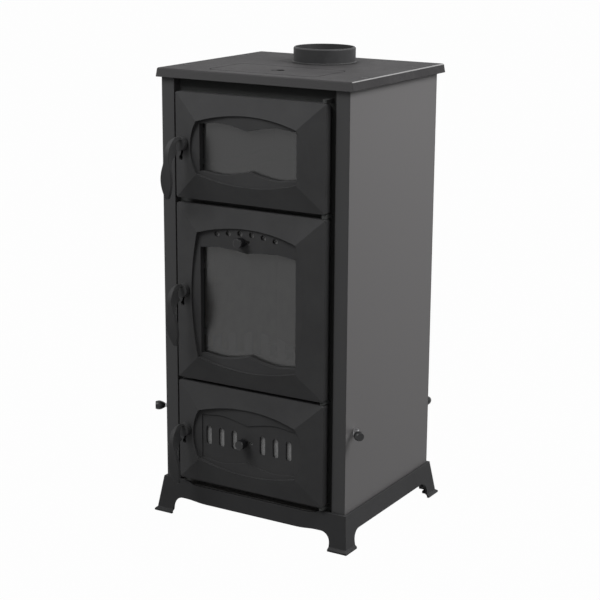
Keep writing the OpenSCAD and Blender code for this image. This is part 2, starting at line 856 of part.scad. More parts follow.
// Firebox: floor, two sides and rear wall, open above
module firebox_shell() {
    half = mouth_w/2;
    color(steel) difference() {
        block([-half - shell_t, box_y0, fire_floor_z - shell_t], [half + shell_t, box_y1, shell_top]);
        block([-half, box_y0 - cut, fire_floor_z], [half, box_y1 - shell_t, shell_top + cut]);
        block([-grate_w/2 + grate_lip, grate_y - grate_d/2 + grate_lip, fire_floor_z - shell_t - cut],
              [grate_w/2 - grate_lip, grate_y + grate_d/2 - grate_lip, fire_floor_z + cut]);
    }
}
shell_top = fire_z + fire_h/2 + high_gap;
grate_y = box_y0 + grate_front + grate_d/2;

module side_brick() {
    block([mouth_w/2 - seat - brick_t, box_y0 + brick_front, fire_floor_z + seat],
          [mouth_w/2 - seat, box_y1 - shell_t - brick_t - 2*seat, brick_top]);
}

module right_firebrick() {
    color(brick) side_brick();
}

module left_firebrick() {
    color(brick) mirror([1, 0, 0]) side_brick();
}

module rear_firebrick() {
    color(brick) block([-mouth_w/2 + seat, box_y1 - shell_t - seat - brick_t, fire_floor_z + seat],
                       [mouth_w/2 - seat, box_y1 - shell_t - seat, brick_top]);
}

module baffle_plate() {
    color(iron) block([-mouth_w/2 + free, box_y0 + baffle_throat, brick_top + seat],
                      [mouth_w/2 - free, box_y1 - shell_t - free, brick_top + seat + baffle_t]);
}

grate_slots = 8;
grate_bar = 10;
grate_edge = 16;

module fire_grate() {
    pitch = (grate_w - 2*grate_edge + grate_bar)/grate_slots;
    color(iron) translate([0, grate_y, fire_floor_z + seat]) difference() {
        union() {
            translate([-grate_w/2, -grate_d/2, 0]) cube([grate_w, grate_d, grate_t/2]);
            translate([-grate_w/2 + grate_lip + free, -grate_d/2 + grate_lip + free, -grate_t/2])
                cube([grate_w - 2*grate_lip - 2*free, grate_d - 2*grate_lip - 2*free, grate_t]);
        }
        for (i = [0:grate_slots - 1]) translate([-grate_w/2 + grate_edge + i*pitch, -grate_d/2 + grate_edge, -grate_t])
            cube([pitch - grate_bar, grate_d - 2*grate_edge, 2*grate_t]);
    }
}

// Log guard: six flat bars with sloping tops on a rail across the mouth
guard_t = 4.5;
guard_over = 12;
guard_half = mouth_w/2 + guard_over;
guard_low = 9;
guard_rail_up = 40;
guard_bar_w = 17;
guard_bar_share = [0.0723, 0.213, 0.3516];
guard_bar_x = [for (s = guard_bar_share) tenth(mouth_w*s)];
guard_bar_up = [84, 78, 69];
guard_slope = 6;
guard_screw_x = mouth_w/2 + guard_over/2;
fire_mouth_z0 = fire_z - fire_mouth_h/2;
guard_screw_z = fire_mouth_z0 - guard_low/2;

module log_guard() {
    y1 = plate_y - seat;
    color(iron) difference() {
        union() {
            block([-guard_half, y1 - guard_t, fire_mouth_z0 - guard_low], [guard_half, y1, fire_mouth_z0 + guard_rail_up]);
            along_y(y1 - guard_t, y1) for (i = [0:2], sx = [-1, 1]) translate([sx*guard_bar_x[i], fire_mouth_z0])
                polygon([
                    [-guard_bar_w/2, 0], [guard_bar_w/2, 0],
                    [guard_bar_w/2, guard_bar_up[i] - (sx > 0 ? guard_slope : 0)],
                    [-guard_bar_w/2, guard_bar_up[i] - (sx > 0 ? 0 : guard_slope)]
                ]);
        }
        for (sx = [-1, 1]) rod_y(sx*guard_screw_x, guard_screw_z, screw_r + run, y1 - guard_t - cut, y1 + cut);
    }
}

module log_guard_screws() {
    y0 = plate_y - seat - guard_t;
    color(black) for (sx = [-1, 1]) {
        rod_y(sx*guard_screw_x, guard_screw_z, screw_head_r, y0 - screw_head_t, y0);
        rod_y(sx*guard_screw_x, guard_screw_z, screw_r, y0 - screw_head_t/2, plate_back_y + screw_r);
    }
}

// Ash compartment and pan
module ash_box() {
    top = fire_floor_z - shell_t - seat;
    bottom = ash_z - ash_mouth_h/2;
    half = mouth_w/2;
    color(steel) difference() {
        block([-half - box_t, box_y0, bottom - box_t], [half + box_t, box_y1, top]);
        block([-half, box_y0 - cut, bottom], [half, box_y1 - box_t, top + cut]);
        rod_x(rod_y0, left_air_z, rod_r + run, -half - box_t - cut, -half + cut);
        rod_x(rod_y0, right_air_z, rod_r + run, half - cut, half + box_t + cut);
        rod_x(rod_y0 + flap_arm, left_air_z, air_port_r, -half - box_t - cut, -half + cut);
        rod_x(rod_y0 + flap_arm, right_air_z, air_port_r, half - cut, half + box_t + cut);
    }
}

pan_h = 62;
pan_side = 6;
bail_w = 90;
bail_out = 9;
bail_r = 2.5;

module ash_pan() {
    half = mouth_w/2 - pan_side;
    z0 = ash_z - ash_mouth_h/2 + seat;
    y0 = box_y0 + 2*bail_out;
    y1 = box_y1 - box_t - pan_side;
    bail_z = z0 + pan_h - 4*bail_r;
    color(steel) {
        difference() {
            block([-half, y0, z0], [half, y1, z0 + pan_h]);
            block([-half + box_t, y0 + box_t, z0 + box_t], [half - box_t, y1 - box_t, z0 + pan_h + cut]);
        }
        rod_x(y0 - bail_out, bail_z, bail_r, -bail_w/2, bail_w/2);
        for (sx = [-1, 1]) rod_y(sx*(bail_w/2 - bail_r), bail_z, bail_r, y0 - bail_out, y0 + box_t/2);
    }
}

// Doors

// The bevelled casting of a door, with its hinge bores, boss, hollow and rope groove
module door_casting(z, h) {
    bevel_x = (door_w - recess_w)/2;
    latch_z = z + handle_up;
    difference() {
        union() {
            along_y(rim_y - seat/3, door_back_y) translate([0, z]) round_rect(door_w, h, corner_r);
            intersection() {
                translate([0, 0, z - h/2]) linear_extrude(height = h) polygon([
                    [-door_w/2, rim_y], [-door_w/2 + bevel_x, ridge_y],
                    [door_w/2 - bevel_x, ridge_y], [door_w/2, rim_y]
                ]);
                along_x(-door_w/2, door_w/2) polygon([
                    [rim_y, z - h/2], [ridge_y, z - h/2 + bevel_z],
                    [ridge_y, z + h/2 - bevel_z], [rim_y, z + h/2]
                ]);
                along_y(ridge_y - cut, rim_y + cut) translate([0, z]) round_rect(door_w, h, corner_r);
            }
            rod_y(handle_x, latch_z, boss_r, rim_y - boss_out, rim_y + free);
        }
        // Curved recess in the middle of the face
        along_y(ridge_y - cut, band_y) translate([0, z]) barrel(recess_w + 2*seat, h - 2*bevel_z + 2*seat, recess_bulge);
        // Hollow behind the face
        along_y(hollow_y, door_back_y + cut) translate([0, z])
            round_rect(door_w - 2*hollow_inset, h - 2*hollow_inset, corner_r);
        // Rope groove
        along_y(door_back_y - rope_depth, door_back_y + cut) translate([0, z])
            rect_ring(door_w - 2*rope_inset, h - 2*rope_inset, corner_r, rope_w);
        // Spot face and bore for the latch spindle, and the keyhole pocket below it
        rod_y(handle_x, latch_z, boss_r, ridge_y - cut, rim_y - boss_out);
        rod_y(handle_x, latch_z, spindle_r + run, ridge_y - cut, door_back_y + cut);
        along_y(ridge_y - cut, rim_y + keyhole_deep) translate([handle_x, latch_z]) rotate([0, 0, -keyhole_turn]) {
            translate([-keyhole_r/2, -keyhole_down]) square([keyhole_r, keyhole_down]);
            translate([0, -keyhole_down]) circle(r = keyhole_r);
        }
        for (low = [z - h/2 - cut, z + h/2 - pin_grip - free])
            translate([hinge_x, hinge_y, low]) cylinder(r = pin_r + run, h = pin_grip + free + cut);
    }
}
boss_r = hub_d/2 + free;
keyhole_turn = 14;
keyhole_r = 5;
keyhole_down = 28.6;
keyhole_deep = 5;

// The seat of a window, which stands behind the face and carries the glass
module window_seat(z, w, h) {
    along_y(hollow_y - seat, glass_y) translate([0, z])
        round_rect(w + 2*seat_margin, h + 2*seat_margin, corner_r);
}

module window_hole(z, w, h, top_dip) {
    along_y(ridge_y - cut, glass_y + cut) translate([0, z]) waved(w, h, top_dip);
}

module pane(z, w, h) {
    along_y(glass_y, glass_y + glass_t) translate([0, z])
        round_rect(w + 2*glass_margin, h + 2*glass_margin, corner_r);
}

// Four spring clips with their screws hold a pane against its seat
clip_w = 12;
clip_t = 1.5;
clip_reach = 5;

module clips(z, w, h) {
    pane_w = w/2 + glass_margin;
    for (sx = [-1, 1], sz = [-1, 1]) {
        y = glass_y + glass_t;
        zc = z + sz*h*clip_share;
        x0 = pane_w - clip_reach;
        x1 = pane_w + clip_foot;
        mirror([sx < 0 ? 1 : 0, 0, 0]) {
            block([x0, y, zc - clip_w/2], [x1, y + clip_t, zc + clip_w/2]);
            block([x1 - clip_t, hollow_y, zc - clip_w/2], [x1, y + clip_t, zc + clip_w/2]);
            block([x1 - clip_t, hollow_y, zc - clip_w/2], [x1 + clip_foot, hollow_y + clip_t, zc + clip_w/2]);
            rod_y(x1 + clip_foot/2, zc, screw_r, hollow_y + clip_t/2, hollow_y + clip_t + 2*clip_t);
        }
    }
}
clip_share = 0.3;
clip_foot = 8;

module door_rope(z, h) {
    w = door_w - 2*rope_inset - seat;
    along_y(door_back_y - rope_depth + seat/2, plate_y - rib_out - seat) translate([0, z])
        rect_ring(w, h - 2*rope_inset - seat, corner_r, rope_w - seat);
}

oven_window_z = oven_z + oven_window_up;
fire_window_z = fire_z - fire_window_down;

module oven_door() {
    color(iron) difference() {
        union() {
            door_casting(oven_z, oven_h);
            window_seat(oven_window_z, window_w, oven_window_h);
        }
        window_hole(oven_window_z, window_w, oven_window_h, wave);
    }
}

module fire_door() {
    color(iron) difference() {
        union() {
            door_casting(fire_z, fire_h);
            window_seat(fire_window_z, window_w, fire_window_h);
        }
        window_hole(fire_window_z, window_w, fire_window_h, wave*fire_top_share);
        for (x = fire_hole_x) rod_y(x, fire_hole_z(x), air_hole_d/2, ridge_y, slide_y + cut);
        along_y(ridge_y, slide_y + cut) translate([fire_row_x, fire_z + fire_knob_up]) track(fire_travel);
    }
}

// The slot that a slide's neck runs in
module track(travel) {
    square([travel, 2*neck_r + 2*run], center = true);
    for (s = [-1, 1]) translate([s*travel/2, 0]) circle(r = neck_r + run);
}

fire_hole_x = [for (i = [-2.5:1:2.5]) fire_row_x + i*air_hole_pitch];
function fire_hole_z(x) = fire_z + fire_hole_up - fire_hole_arc + sqrt(fire_hole_arc*fire_hole_arc - pow(x - fire_row_x, 2));
ash_slot_x = [for (s = [-1, 1], i = [0:2]) s*(ash_slot_start + i*air_slot_pitch)];
ash_panel_y = band_y + ash_panel_down;

module air_slot(x, w, h) {
    translate([x, 0]) {
        square([w, h - w], center = true);
        for (s = [-1, 1]) translate([0, s*(h - w)/2]) circle(r = w/2);
    }
}

module ash_door() {
    color(iron) difference() {
        door_casting(ash_z, ash_h);
        along_y(ridge_y - cut, ash_panel_y) translate([0, ash_z - ash_panel_low]) waved(window_w, ash_panel_h, wave);
        along_y(ridge_y, slide_y + cut) translate([0, ash_z]) {
            for (x = ash_slot_x) air_slot(x, air_slot_w, air_slot_h);
            track(ash_travel);
        }
    }
}

module oven_glass() {
    color(glass_grey) pane(oven_window_z, window_w, oven_window_h);
}

module fire_glass() {
    color(glass_grey) pane(fire_window_z, window_w, fire_window_h);
}

module oven_glass_clips() {
    color(steel) clips(oven_window_z, window_w, oven_window_h);
}

module fire_glass_clips() {
    color(steel) clips(fire_window_z, window_w, fire_window_h);
}

module oven_door_rope() {
    color(rope_grey) door_rope(oven_z, oven_h);
}

module fire_door_rope() {
    color(rope_grey) door_rope(fire_z, fire_h);
}

module ash_door_rope() {
    color(rope_grey) door_rope(ash_z, ash_h);
}

// Air slides: at rest their holes lie halfway between those of the door
module fire_air_slide() {
    left = fire_hole_x[0] - fire_travel - air_hole_d/2 - slide_end;
    right = fire_hole_x[5] + air_hole_d/2 + slide_end/2;
    color(steel) difference() {
        block([left, slide_y, fire_z + fire_slide_low], [right, slide_y + slide_t, fire_z + fire_slide_high]);
        for (x = fire_hole_x) rod_y(x - fire_travel, fire_hole_z(x), air_hole_d/2, slide_y - cut, slide_y + slide_t + cut);
        rod_y(fire_row_x - fire_travel/2, fire_z + fire_knob_up, rivet_neck_r, slide_y - cut, slide_y + slide_t + cut);
    }
}

module ash_air_slide() {
    left = ash_slot_x[2] - ash_travel - air_slot_w/2 - slide_end;
    right = ash_slot_x[5] + air_slot_w/2 + slide_end/2;
    color(steel) difference() {
        block([left, slide_y, ash_z - ash_slide_half], [right, slide_y + slide_t, ash_z + ash_slide_half]);
        along_y(slide_y - cut, slide_y + slide_t + cut) translate([-ash_travel, ash_z])
            for (x = ash_slot_x) air_slot(x, air_slot_w, air_slot_h);
        rod_y(-ash_travel/2, ash_z, rivet_neck_r, slide_y - cut, slide_y + slide_t + cut);
    }
}

// A knob turned about its axis, with its neck through the door and its rivet behind the slide
module slide_knob(x, z) {
    tail = slide_y - band_y;
    translate([x, band_y, z]) rotate([90, 0, 0]) rotate_extrude() polygon([
        [0, -tail - slide_t - rivet_t], [rivet_r, -tail - slide_t - rivet_t], [rivet_r, -tail - slide_t],
        [rivet_neck_r - run, -tail - slide_t], [rivet_neck_r - run, -tail], [neck_r, -tail], [neck_r, knob_gap],
        [knob_d/2*knob_foot_share, knob_gap], [knob_d/2, knob_gap + 2*knob_round],
        [knob_d/2, knob_len - knob_round], [knob_d/2 - knob_round*0.3, knob_len - knob_round*0.3],
        [knob_d/2 - knob_round, knob_len], [0, knob_len]
    ]);
}
knob_gap = 1;
knob_round = 2;
knob_foot_share = 0.8;

module fire_air_knob() {
    color(black) slide_knob(fire_row_x - fire_travel/2, fire_z + fire_knob_up);
}

module ash_air_knob() {
    color(black) slide_knob(-ash_travel/2, ash_z);
}

// A guide strip that keeps a slide against the door: a foot and a lip
module guide(x0, x1, z0, foot, lip_up) {
    lip_y = slide_y + slide_t + seat;
    block([x0, hollow_y, z0], [x1, lip_y + guide_t, z0 + foot]);
    block([x0, lip_y, lip_up ? z0 : z0 - guide_lip], [x1, lip_y + guide_t, lip_up ? z0 + foot + guide_lip : z0 + foot]);
}

module fire_slide_guides() {
    reach = door_w/2 - hollow_inset - 2*corner_r;
    color(steel) {
        guide(-reach, reach, fire_z + fire_slide_low - seat - guide_t, guide_t, true);
        guide(-reach, reach, fire_z + fire_slide_high + seat, guide_t, false);
    }
}

module ash_slide_guides() {
    reach = door_w/2 - hollow_inset - 2*corner_r;
    color(steel) {
        guide(-reach, reach, ash_z - ash_slide_half - seat - 2*guide_t, 2*guide_t, true);
        guide(-reach, reach, ash_z + ash_slide_half + seat, 2*guide_t, false);
    }
}

// Handles

// Side outline of the handle: x is the reach in front of the hub, y is the drop below its axis
arch_rise = 2;
arch_centre_out = 10;
web_centre_out = 2;
web_end_out = 14;
tip_in = 14;
arch_turn = 112;
pocket_out = 5;
pocket_down = 3;
pocket_r = 12.5;
pocket_start = 53;
pocket_end = 128;

module grip_side() {
    arch_out_r = grip_out - arch_centre_out;
    arch_down = arch_out_r - hub_d/2 - arch_rise;
    drop = grip_len - arch_down;
    long_r = (drop*drop + tip_in*tip_in)/(2*tip_in);
    long_x = grip_out - long_r;
    sweep = asin(drop/long_r);
    web_r = grip_out - grip_t - web_centre_out + grip_t/2;
    web_down = hub_d/2 + web_r;
    web_start = acos((grip_out - grip_t - web_centre_out)/web_r);
    web_stop = acos((web_end_out - web_centre_out)/web_r);
    join = asin((web_down - web_r*sin(web_start) - arch_down)/(long_r - grip_t));
    steps = 12;
    polygon(concat(
        [for (i = [0:steps]) let (a = arch_turn*(1 - i/steps))
            [arch_centre_out + arch_out_r*cos(a), arch_down - arch_out_r*sin(a)]],
        [for (i = [1:steps]) let (a = sweep*i/steps) [long_x + long_r*cos(a), arch_down + long_r*sin(a)]],
        [for (i = [0:steps]) let (a = sweep - (sweep - join)*i/steps)
            [long_x + (long_r - grip_t)*cos(a), arch_down + (long_r - grip_t)*sin(a)]],
        [for (i = [1:steps]) let (a = web_start + (web_stop - web_start)*i/steps)
            [web_centre_out + web_r*cos(a), web_down - web_r*sin(a)]],
        // Hollow that leaves the front of the hub free
        [for (i = [0:steps]) let (a = pocket_start - (pocket_start + pocket_end)*i/steps)
            [pocket_out + pocket_r*cos(a), pocket_down + pocket_r*sin(a)]]
    ));
}

// Front outline of the handle: a narrow arm beside the hub's axis that widens to a leaf with a round tip
arm_w = 8.6;
arm_top = 18;
arm_run = 12;
arm_down = 12;
widest_down = 62;
tip_w = 9;
leaf_side = 5;
leaf_from = -12;
leaf_to = 32;
leaf_end = grip_len - tip_w/2;

// Middle of the outline and half its width, at a drop below the axis
function grip_middle(d) = leaf_side*min(1, (d - leaf_from)/(leaf_to - leaf_from));
function grip_half(d) = d < arm_down
    ? arm_w/2*min(1, (d + arm_top)/arm_run)
    : d < widest_down
        ? arm_w/2 + (grip_w - arm_w)*(1 - cos(180*(d - arm_down)/(widest_down - arm_down)))/4
        : grip_w/2 - (grip_w - tip_w)/2*pow((d - widest_down)/(leaf_end - widest_down), 2);

module grip_front() {
    steps = 24;
    top = 1 - arm_top;
    drops = [for (i = [0:steps]) top + (leaf_end - top)*i/steps];
    polygon(concat(
        [for (d = drops) [grip_middle(d) + grip_half(d), d]],
        [for (i = [steps:-1:0]) [grip_middle(drops[i]) - grip_half(drops[i]), drops[i]]]
    ));
    translate([grip_middle(leaf_end), leaf_end]) circle(r = tip_w/2);
}

// A handle hanging from its hub, turned outwards by an angle
module handle(z, turn) {
    translate([handle_x, 0, z]) rotate([0, turn, 0]) difference() {
        union() {
            rod_y(0, 0, hub_d/2, hub_front_y, hub_back_y);
            intersection() {
                translate([-grip_w, 0, 0]) rotate([90, 0, 90]) linear_extrude(height = 2*grip_w)
                    translate([hub_front_y, 0]) mirror([1, 0]) mirror([0, 1]) grip_side();
                translate([0, body_cy, 0]) rotate([90, 0, 0]) linear_extrude(height = 2*body_d) mirror([0, 1]) grip_front();
            }
        }
        rod_y(0, 0, spindle_r, hub_back_y - spindle_in, hub_back_y + cut);
    }
}

module latch_bit(z) {
    rod_y(handle_x, z, bit_w/2 + free, bit_y, bit_y + bit_t);
    along_y(bit_y, bit_y + bit_t) translate([handle_x, z]) {
        translate([-bit_w/2, -bit_len + bit_w/2]) square([bit_w, bit_len - bit_w/2]);
        translate([0, -bit_len + bit_w/2]) circle(r = bit_w/2);
    }
}

// A spindle pressed into the hub, and the bit that locks behind the front plate
module latch(z) {
    rod_y(handle_x, z, spindle_r, hub_back_y - spindle_in, bit_y + bit_t/2);
    latch_bit(z);
}

module latch_nut(z) {
    y0 = door_back_y + seat;
    translate([handle_x, y0 + nut_t, z]) rotate([90, 0, 0]) difference() {
        cylinder(r = nut_r, h = nut_t, $fn = 6);
        translate([0, 0, -cut]) cylinder(r = spindle_r, h = nut_t + 2*cut);
    }
}

oven_handle_turn = 8;

module oven_handle() {
    color(iron) handle(oven_z + handle_up, oven_handle_turn);
}

module fire_handle() {
    color(iron) handle(fire_z + handle_up, 0);
}

module ash_handle() {
    color(iron) handle(ash_z + handle_up, 0);
}

module oven_latch() {
    color(steel) latch(oven_z + handle_up);
}

module fire_latch() {
    color(steel) latch(fire_z + handle_up);
}

module ash_latch() {
    color(steel) latch(ash_z + handle_up);
}

module oven_latch_nut() {
    color(steel) latch_nut(oven_z + handle_up);
}

module fire_latch_nut() {
    color(steel) latch_nut(fire_z + handle_up);
}

module ash_latch_nut() {
    color(steel) latch_nut(ash_z + handle_up);
}

// Side and rear air controls

// A pear-shaped knob along +z from its neck
module pear() {
    steps = 14;
    socket = rod_r + run;
    rotate_extrude() difference() {
        polygon(concat(
            [[0, 0]],
            [for (i = [0:steps]) let (u = i/steps)
                [pear_neck_r + (pear_d/2 - pear_neck_r)*sin(pear_sweep*u), pear_len*u]],
            [[0, pear_len]]
        ));
        translate([0, -cut]) square([socket, pear_len/2 + cut]);
    }
}
pear_neck_r = 4.5;
pear_sweep = 140;

// A flap on the inner end of a rod, beside its arm
module flap() {
    circle(r = 2*rod_r);
    translate([flap_arm, 0]) circle(r = flap_r);
    translate([0, -rod_r]) square([flap_arm, 2*rod_r]);
}

// The rod of a side control, with the flat crank that carries its knob
elbow_x = side_x + elbow_out;
crank_x = 5;
crank_y = 16.8;
crank_r = 4;
crank_t = 7;
crank_len = sqrt(crank_x*crank_x + crank_y*crank_y);
crank_turn = atan(crank_y/crank_x);

module side_rod(z) {
    inner = mouth_w/2 + box_t;
    rod_x(rod_y0, z, rod_r, inner - box_t/2, elbow_x);
    translate([elbow_x, rod_y0, z]) {
        rotate([0, 0, -crank_turn]) translate([0, 0, -crank_t/2]) linear_extrude(height = crank_t) {
            circle(r = crank_r);
            translate([0, -crank_r]) square([crank_len, 2*crank_r]);
            translate([crank_len, 0]) circle(r = crank_r);
        }
        translate([crank_x, -crank_y, 0]) rotate([0, 0, -knob_turn]) rotate([0, 90, 0])
            cylinder(r = rod_r, h = pear_gap + pear_len/3);
    }
    along_x(inner + seat, inner + seat + flap_t) translate([rod_y0, z]) flap();
}

module side_knob(z) {
    translate([elbow_x + crank_x, rod_y0 - crank_y, z]) rotate([0, 0, -knob_turn]) rotate([0, 90, 0])
        translate([0, 0, pear_gap]) pear();
}
pear_gap = 4.3;

module right_air_rod() {
    color(steel) side_rod(right_air_z);
}

module right_air_knob() {
    color(black) side_knob(right_air_z);
}

module left_air_rod() {
    color(steel) mirror([1, 0, 0]) side_rod(left_air_z);
}

module left_air_knob() {
    color(black) mirror([1, 0, 0]) side_knob(left_air_z);
}

module rear_air_rod() {
    inner = back_y - sheet_t - seat - flap_t;
    color(steel) {
        rod_y(rear_air_x, rear_air_z, rod_r, inner, back_y + pear_neck + pear_len/2);
        along_y(inner, inner + flap_t) translate([rear_air_x, rear_air_z]) mirror([1, 0]) flap();
    }
}

module rear_air_knob() {
    color(black) translate([rear_air_x, back_y + pear_neck, rear_air_z]) rotate([-90, 0, 0]) pear();
}

base_frame();
bottom_plate();
left_side_panel();
right_side_panel();
rear_panel();
front_frame();
top_plate();
flue_collar();
collar_bolts();
tie_rods();
tie_rod_nuts();
front_frame_screws();
rear_panel_screws();
oven_box();
oven_runners();
oven_tray();
firebox_shell();
left_firebrick();
right_firebrick();
rear_firebrick();
baffle_plate();
fire_grate();
log_guard();
log_guard_screws();
ash_box();
ash_pan();
hinge_pins();
cooking_lid();
oven_door();
oven_glass();
oven_glass_clips();
oven_door_rope();
oven_handle();
oven_latch();
oven_latch_nut();
fire_door();
fire_glass();
fire_glass_clips();
fire_door_rope();
fire_slide_guides();
fire_handle();
fire_latch();
fire_latch_nut();
fire_air_slide();
fire_air_knob();
ash_door();
ash_door_rope();
ash_slide_guides();
ash_handle();
ash_latch();
ash_latch_nut();
ash_air_slide();
ash_air_knob();
left_air_rod();
left_air_knob();
right_air_rod();
right_air_knob();
rear_air_rod();
rear_air_knob();
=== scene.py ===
import json

import bpy
from mathutils import Matrix, Vector


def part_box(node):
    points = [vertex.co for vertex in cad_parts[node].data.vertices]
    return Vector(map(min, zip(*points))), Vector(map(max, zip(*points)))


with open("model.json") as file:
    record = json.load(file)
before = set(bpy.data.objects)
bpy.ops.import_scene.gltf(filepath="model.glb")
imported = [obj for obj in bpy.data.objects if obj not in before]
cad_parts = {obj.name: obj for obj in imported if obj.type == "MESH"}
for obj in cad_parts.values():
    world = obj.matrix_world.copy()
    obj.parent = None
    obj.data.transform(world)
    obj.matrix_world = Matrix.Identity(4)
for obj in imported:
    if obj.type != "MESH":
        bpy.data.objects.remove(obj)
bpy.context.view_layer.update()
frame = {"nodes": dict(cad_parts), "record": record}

# Places that follow from the frame, in metres
panel_low, panel_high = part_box("right_side_panel")
rear_low, rear_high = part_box("rear_panel")
body_centre_y = (panel_low[1] + rear_high[1]) / 2
body_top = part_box("top_plate")[1][2]

# Camera, fitted to the photograph: its place is given from the middle of the body, on the floor
camera_from_body = Vector((1.5539, -2.6038, 1.2005))
camera_right = Vector((0.85794, 0.51371, 0.00613))
camera_up = Vector((-0.13374, 0.21180, 0.96812))
sensor_width = 36
photo_width_px = 600
focal_px = 1610.04


def make_camera():
    data = bpy.data.cameras.new("photo_camera")
    data.sensor_width = sensor_width
    data.lens = focal_px / photo_width_px * sensor_width
    camera = bpy.data.objects.new("photo_camera", data)
    backwards = camera_right.cross(camera_up)
    turn = Matrix((camera_right, camera_up, backwards)).transposed().to_4x4()
    place = camera_from_body + Vector((0, body_centre_y, 0))
    camera.matrix_world = Matrix.Translation(place) @ turn
    bpy.context.scene.collection.objects.link(camera)
    bpy.context.scene.camera = camera


# Materials
class Nodes:
    """Shorthand for building one material's nodes."""

    def __init__(self, name):
        self.material = bpy.data.materials.new(name)
        self.material.use_nodes = True
        self.tree = self.material.node_tree
        self.shader = self.tree.nodes["Principled BSDF"]

    def add(self, kind, **values):
        node = self.tree.nodes.new(kind)
        for key, value in values.items():
            setattr(node, key, value)
        return node

    def link(self, source, target):
        self.tree.links.new(source, target)

    def noise(self, scale, detail=4.0, rough=0.6, stretch=(1, 1, 1)):
        place = self.add("ShaderNodeTexCoord")
        mapping = self.add("ShaderNodeMapping")
        mapping.inputs["Scale"].default_value = stretch
        noise = self.add("ShaderNodeTexNoise")
        noise.inputs["Scale"].default_value = scale
        noise.inputs["Detail"].default_value = detail
        noise.inputs["Roughness"].default_value = rough
        self.link(place.outputs["Object"], mapping.inputs["Vector"])
        self.link(mapping.outputs["Vector"], noise.inputs["Vector"])
        return noise.outputs["Fac"]

    def ramp(self, value, low, high, start=0.3, end=0.7):
        ramp = self.add("ShaderNodeValToRGB")
        ramp.color_ramp.elements[0].position = start
        ramp.color_ramp.elements[0].color = (*low, 1)
        ramp.color_ramp.elements[1].position = end
        ramp.color_ramp.elements[1].color = (*high, 1)
        self.link(value, ramp.inputs["Fac"])
        return ramp.outputs["Color"]

    def span(self, value, low, high):
        span = self.add("ShaderNodeMapRange")
        span.inputs["To Min"].default_value = low
        span.inputs["To Max"].default_value = high
        self.link(value, span.inputs["Value"])
        return span.outputs["Result"]

    def bump(self, height, distance, strength=1.0, edge=0.0):
        bump = self.add("ShaderNodeBump")
        bump.inputs["Distance"].default_value = distance
        bump.inputs["Strength"].default_value = strength
        self.link(height, bump.inputs["Height"])
        if edge:
            bevel = self.add("ShaderNodeBevel", samples=4)
            bevel.inputs["Radius"].default_value = edge
            self.link(bevel.outputs["Normal"], bump.inputs["Normal"])
        self.link(bump.outputs["Normal"], self.shader.inputs["Normal"])

    def worn(self, base, worn, radius, amount):
        """Mix in a lighter colour where an outer edge is near."""
        bevel = self.add("ShaderNodeBevel", samples=4)
        bevel.inputs["Radius"].default_value = radius
        geometry = self.add("ShaderNodeNewGeometry")
        dot = self.add("ShaderNodeVectorMath", operation="DOT_PRODUCT")
        self.link(bevel.outputs["Normal"], dot.inputs[0])
        self.link(geometry.outputs["Normal"], dot.inputs[1])
        edge = self.add("ShaderNodeMapRange")
        edge.inputs["From Min"].default_value = 1.0
        edge.inputs["From Max"].default_value = 0.85
        edge.inputs["To Max"].default_value = amount
        self.link(dot.outputs["Value"], edge.inputs["Value"])
        return self.mix(edge.outputs["Result"], base, worn)

    def crevice(self, reach, power):
        """A factor that falls towards 0 in narrow gaps."""
        near = self.add("ShaderNodeAmbientOcclusion", samples=8)
        near.inputs["Distance"].default_value = reach
        sharper = self.add("ShaderNodeMath", operation="POWER")
        sharper.inputs[1].default_value = power
        self.link(near.outputs["AO"], sharper.inputs[0])
        return sharper.outputs[0]

    def facing(self, direction, start, end):
        """A factor that grows from 0 to 1 as a face turns towards a direction."""
        geometry = self.add("ShaderNodeNewGeometry")
        dot = self.add("ShaderNodeVectorMath", operation="DOT_PRODUCT")
        dot.inputs[1].default_value = direction
        self.link(geometry.outputs["Normal"], dot.inputs[0])
        factor = self.add("ShaderNodeMapRange")
        factor.inputs["From Min"].default_value = start
        factor.inputs["From Max"].default_value = end
        self.link(dot.outputs["Value"], factor.inputs["Value"])
        return factor.outputs["Result"]

    def mix(self, factor, first, second):
        """Mix two colours, each given as a socket or as a value."""
        mix = self.add("ShaderNodeMix", data_type="RGBA")
        self.link(factor, mix.inputs["Factor"])
        for colour, target in ((first, mix.inputs[6]), (second, mix.inputs[7])):
            if isinstance(colour, tuple):
                target.default_value = (*colour, 1)
            else:
                self.link(colour, target)
        return mix.outputs[2]

    def base(self, colour):
        self.link(colour, self.shader.inputs["Base Color"])

    def plain(self, colour, rough, metallic=0.0, specular=0.5):
        self.shader.inputs["Base Color"].default_value = (*colour, 1)
        self.shader.inputs["Roughness"].default_value = rough
        self.shader.inputs["Metallic"].default_value = metallic
        self.shader.inputs["Specular IOR Level"].default_value = specular


cast_dark = (0.047, 0.047, 0.048)
cast_light = (0.058, 0.058, 0.059)
panel_grey = (0.105, 0.102, 0.103)
painted_crevice_shade = (0.004, 0.004, 0.004)
lid_seam_painted_shade = (0.002, 0.002, 0.002)
painted_edge_highlight = (0.24, 0.238, 0.238)
towards_front = (0, -1, 0)
towards_right_and_up = (0.707, 0, 0.707)
upwards = (0, 0, 1)


def cast_paint():
    n = Nodes("cast_paint")
    n.plain(cast_dark, 0.62, specular=0.12)
    n.base(n.ramp(n.noise(14), cast_dark, cast_light))
    n.bump(n.noise(900, 3), 0.00025, 0.5, edge=0.0008)
    return n.material


def base_paint():
    n = Nodes("base_paint")
    n.plain((0.037, 0.037, 0.038), 0.62, specular=0.1)
    tone = n.ramp(n.noise(14), (0.034, 0.034, 0.035), (0.040, 0.040, 0.041))
    n.base(n.worn(tone, (0.08, 0.08, 0.08), 0.0012, 0.5))
    n.bump(n.noise(900, 3), 0.00025, 0.5, edge=0.0016)
    return n.material


